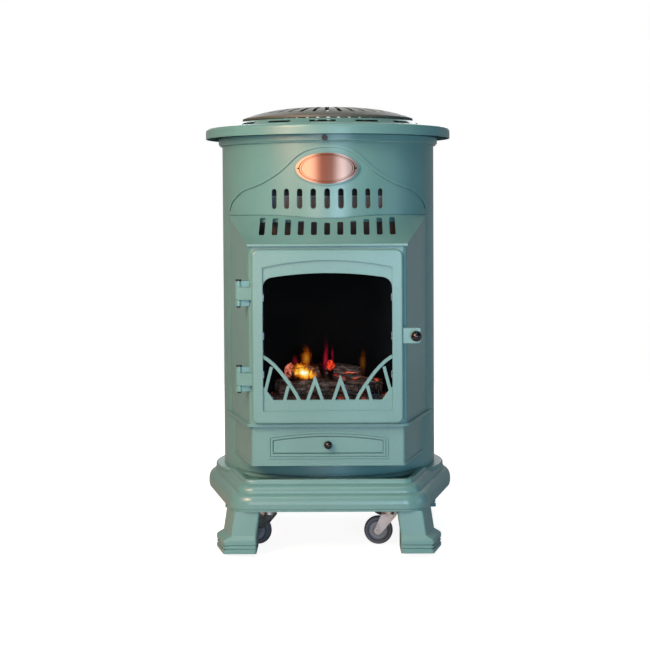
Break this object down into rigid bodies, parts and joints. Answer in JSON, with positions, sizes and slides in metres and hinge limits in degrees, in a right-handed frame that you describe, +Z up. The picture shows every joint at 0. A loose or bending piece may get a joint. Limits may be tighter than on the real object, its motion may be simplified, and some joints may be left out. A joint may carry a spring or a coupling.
{
  "type": "portable gas cabinet heater",
  "caption": "Portable gas cabinet heater with a round bottle drum, a stove-like front door with a glass window over ceramic logs, a moulded plinth with legs and hidden castors.",
  "frame": {"origin": "centre of the bounding box at the level of the floor under the castors", "axes": "+Z up, -Y out of the door's front, +X to the right of someone who looks at the door"},
  "size_m": [0.4456, 0.51, 0.769],
  "materials": {
    "black_steel": "matt black heat resistant paint",
    "brass_gas": "machined brass",
    "char": "charred ceramic log",
    "copper": "brushed copper",
    "copper_pipe": "drawn copper tube",
    "dark_screw": "blackened steel",
    "ember": "ceramic ember",
    "galvanised": "galvanised sheet",
    "glass": "clear ceramic glass",
    "gloss_black": "polished black",
    "green_paint": "satin sage green powder coat",
    "grey_paint": "satin grey green heat resistant paint",
    "grey_wheel": "grey wheel",
    "rope": "woven glass rope",
    "zinc": "bright zinc plate"
  },
  "bodies": {
    "cabinet": {"base_plinth": "green_paint", "base_floor": "galvanised", "leg_front_left": "green_paint", "leg_front_right": "green_paint", "leg_rear_left": "green_paint", "leg_rear_right": "green_paint", "leg_bolts": "zinc", "castor_stems": "zinc", "drum_shell": "green_paint", "drum_foot_flange": "green_paint", "top_collar": "green_paint", "collar_screws": "dark_screw", "lid": "green_paint", "top_grille": "grey_paint", "grille_posts": "dark_screw", "crest_panel": "green_paint", "nameplate": "copper", "badge_rivets": "copper", "hood": "green_paint", "front_casing": "green_paint", "lower_casing": "green_paint", "hinge_lugs": "green_paint", "hinge_pins": "dark_screw", "door_catch": "black_steel", "flap_hinge_pin": "zinc", "control_panel": "galvanised", "valve_body": "brass_gas", "igniter_housing": "gloss_black", "gas_pipe": "copper_pipe", "hose_tail": "brass_gas", "firebox_liner": "black_steel", "heat_shield": "galvanised", "burner_tray": "black_steel", "burner_tubes": "galvanised", "ember_bed": "ember", "log_front": "char", "log_back": "char", "pilot_assembly": "galvanised"},
    "door": {"door_frame": "green_paint", "door_fret": "green_paint", "door_glass": "glass", "door_seal": "rope", "glass_clips": "zinc", "latch_tab": "green_paint", "latch_knob": "gloss_black"},
    "control_flap": {"control_flap": "green_paint", "flap_knob": "gloss_black"},
    "valve_spindle": {"valve_spindle": "brass_gas"},
    "control_knob": {"control_knob": "gloss_black"},
    "igniter_button": {"igniter_button": "gloss_black"},
    "rear_cover": {"rear_cover": "green_paint"},
    "castor_fork_front_left": {"castor_fork_front_left": "zinc"},
    "castor_wheel_front_left": {"castor_wheel_front_left": "grey_wheel"},
    "castor_fork_front_right": {"castor_fork_front_right": "zinc"},
    "castor_wheel_front_right": {"castor_wheel_front_right": "grey_wheel"},
    "castor_fork_rear_left": {"castor_fork_rear_left": "zinc"},
    "castor_wheel_rear_left": {"castor_wheel_rear_left": "grey_wheel"},
    "castor_fork_rear_right": {"castor_fork_rear_right": "zinc"},
    "castor_wheel_rear_right": {"castor_wheel_rear_right": "grey_wheel"}
  },
  "joints": [
    {"name": "door_hinge", "type": "hinge", "parent": "cabinet", "child": "door", "pos_m": [-0.149, -0.222, 0.372], "axis": [0, 0, -1], "range_deg": [0, 110]},
    {"name": "control_flap_hinge", "type": "hinge", "parent": "cabinet", "child": "control_flap", "pos_m": [0, -0.2183, 0.1757], "axis": [1, 0, 0], "range_deg": [0, 85]},
    {"name": "control_knob_push", "type": "slide", "parent": "cabinet", "child": "valve_spindle", "axis": [0, 1, 0], "range_m": [0, 0.004], "stiffness_N_per_m": 900},
    {"name": "control_knob_turn", "type": "hinge", "parent": "valve_spindle", "child": "control_knob", "pos_m": [-0.034, -0.207, 0.1885], "axis": [0, -1, 0], "range_deg": [0, 180]},
    {"name": "igniter_push", "type": "slide", "parent": "cabinet", "child": "igniter_button", "axis": [0, 1, 0], "range_m": [0, 0.005], "stiffness_N_per_m": 700},
    {"name": "rear_cover_lift_off", "type": "slide", "parent": "cabinet", "child": "rear_cover", "axis": [0, 1, 0], "range_m": [0, 0.15]},
    {"name": "castor_swivel_front_left", "type": "hinge", "parent": "cabinet", "child": "castor_fork_front_left", "pos_m": [-0.106, -0.12709, 0.06], "axis": [0, 0, 1], "continuous": true},
    {"name": "castor_spin_front_left", "type": "hinge", "parent": "castor_fork_front_left", "child": "castor_wheel_front_left", "pos_m": [-0.12502, -0.1209, 0.025], "axis": [0.309, 0.9511, 0], "continuous": true},
    {"name": "castor_swivel_front_right", "type": "hinge", "parent": "cabinet", "child": "castor_fork_front_right", "pos_m": [0.106, -0.12709, 0.06], "axis": [0, 0, 1], "continuous": true},
    {"name": "castor_spin_front_right", "type": "hinge", "parent": "castor_fork_front_right", "child": "castor_wheel_front_right", "pos_m": [0.08605, -0.12569, 0.025], "axis": [0.0698, 0.9976, 0], "continuous": true},
    {"name": "castor_swivel_rear_left", "type": "hinge", "parent": "cabinet", "child": "castor_fork_rear_left", "pos_m": [-0.118, 0.13109, 0.06], "axis": [0, 0, 1], "continuous": true},
    {"name": "castor_spin_rear_left", "type": "hinge", "parent": "castor_fork_rear_left", "child": "castor_wheel_rear_left", "pos_m": [-0.13679, 0.12424, 0.025], "axis": [-0.342, 0.9397, 0], "continuous": true},
    {"name": "castor_swivel_rear_right", "type": "hinge", "parent": "cabinet", "child": "castor_fork_rear_right", "pos_m": [0.118, 0.13109, 0.06], "axis": [0, 0, 1], "continuous": true},
    {"name": "castor_spin_rear_right", "type": "hinge", "parent": "castor_fork_rear_right", "child": "castor_wheel_rear_right", "pos_m": [0.09987, 0.13954, 0.025], "axis": [0.4226, 0.9063, 0], "continuous": true}
  ]
}
